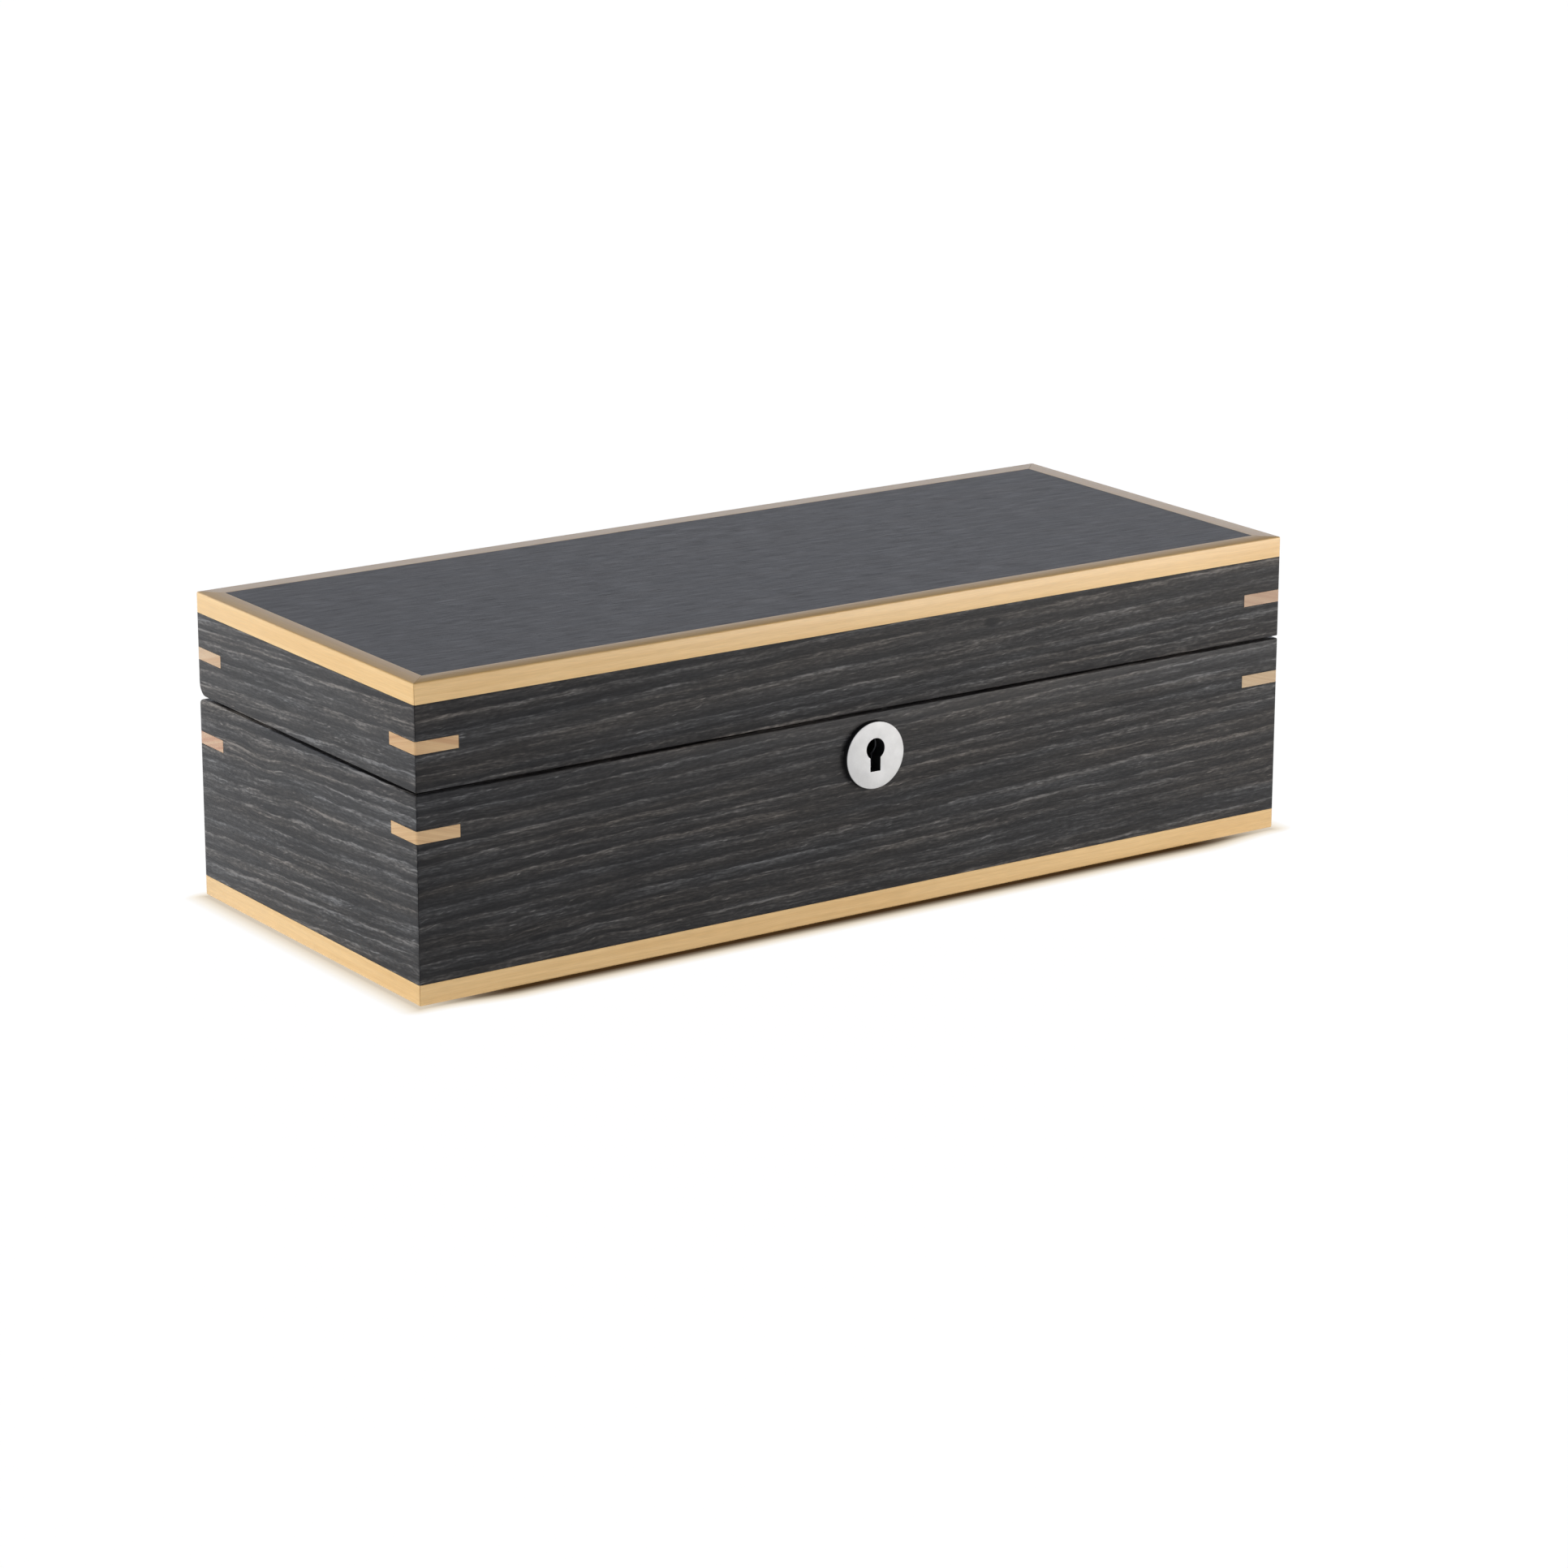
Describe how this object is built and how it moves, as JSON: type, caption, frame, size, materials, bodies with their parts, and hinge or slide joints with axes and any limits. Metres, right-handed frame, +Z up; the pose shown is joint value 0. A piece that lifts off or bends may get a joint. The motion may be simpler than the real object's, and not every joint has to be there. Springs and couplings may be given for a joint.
{
  "type": "inlaid wooden box",
  "caption": "Long low keepsake box with pale lipping, corner keys, a hinged lid, a lined inside and a keyhole lock.",
  "frame": {"origin": "on the resting surface under the middle of the closed box: the centre of the felt's underside", "axes": "+X along the front towards the viewer's right, +Y from the front to the hinged back, +Z up"},
  "size_m": [0.33, 0.137, 0.1005],
  "materials": {
    "stained_oak": "dark stained open-grain veneer, satin lacquer",
    "pale_maple": "pale straight-grained wood, satin lacquer",
    "key_maple": "pale pinkish wood cut across the grain, satin lacquer",
    "brushed_steel": "fine satin brushed",
    "nickel": "nickel plated",
    "lock_steel": "bright zinc plated",
    "spring_bronze": "spring bronze strip",
    "grey_suede": "soft suede-like lining, short nap",
    "black_felt": "thin pressed felt"
  },
  "bodies": {
    "base": {"base_back_lipping": "pale_maple", "base_back_wall": "stained_oak", "base_front_lipping": "pale_maple", "base_front_wall": "stained_oak", "base_key_back_left": "key_maple", "base_key_back_right": "key_maple", "base_key_front_left": "key_maple", "base_key_front_right": "key_maple", "base_left_lipping": "pale_maple", "base_left_wall": "stained_oak", "base_lining": "grey_suede", "base_right_lipping": "pale_maple", "base_right_wall": "stained_oak", "bottom_panel": "stained_oak", "escutcheon": "brushed_steel", "floor_pad": "grey_suede", "hinge_left_base_leaf": "nickel", "hinge_left_base_screw_1": "nickel", "hinge_left_base_screw_2": "nickel", "hinge_left_pin": "nickel", "hinge_right_base_leaf": "nickel", "hinge_right_base_screw_1": "nickel", "hinge_right_base_screw_2": "nickel", "hinge_right_pin": "nickel", "lock_cap": "lock_steel", "lock_case": "lock_steel", "lock_screw_left": "lock_steel", "lock_screw_right": "lock_steel", "lock_spring": "spring_bronze", "underside_felt": "black_felt"},
    "lid": {"hinge_left_lid_leaf": "nickel", "hinge_left_lid_screw_1": "nickel", "hinge_left_lid_screw_2": "nickel", "hinge_right_lid_leaf": "nickel", "hinge_right_lid_screw_1": "nickel", "hinge_right_lid_screw_2": "nickel", "lid_back_lipping": "pale_maple", "lid_back_wall": "stained_oak", "lid_front_lipping": "pale_maple", "lid_front_wall": "stained_oak", "lid_key_back_left": "key_maple", "lid_key_back_right": "key_maple", "lid_key_front_left": "key_maple", "lid_key_front_right": "key_maple", "lid_left_lipping": "pale_maple", "lid_left_wall": "stained_oak", "lid_lining": "grey_suede", "lid_pad": "grey_suede", "lid_right_lipping": "pale_maple", "lid_right_wall": "stained_oak", "lock_strike": "lock_steel", "strike_screw_left": "lock_steel", "strike_screw_right": "lock_steel", "top_panel": "stained_oak"},
    "bolt": {"lock_bolt": "nickel"},
    "lever": {"lock_lever": "nickel"}
  },
  "joints": [
    {"name": "lid_hinge", "type": "hinge", "parent": "base", "child": "lid", "pos_m": [0, 0.065, 0.0665], "axis": [-1, 0, 0], "range_deg": [0, 103]},
    {"name": "bolt_slide", "type": "slide", "parent": "base", "child": "bolt", "axis": [1, 0, 0], "range_m": [0, 0.0045]},
    {"name": "lever_lift", "type": "hinge", "parent": "base", "child": "lever", "pos_m": [-0.0158, -0.0578, 0.06], "axis": [0, -1, 0], "range_deg": [0, 8], "stiffness_Nm_per_rad": 0.002, "springref_deg": -20.05, "deforming": ["lock_spring"]}
  ]
}
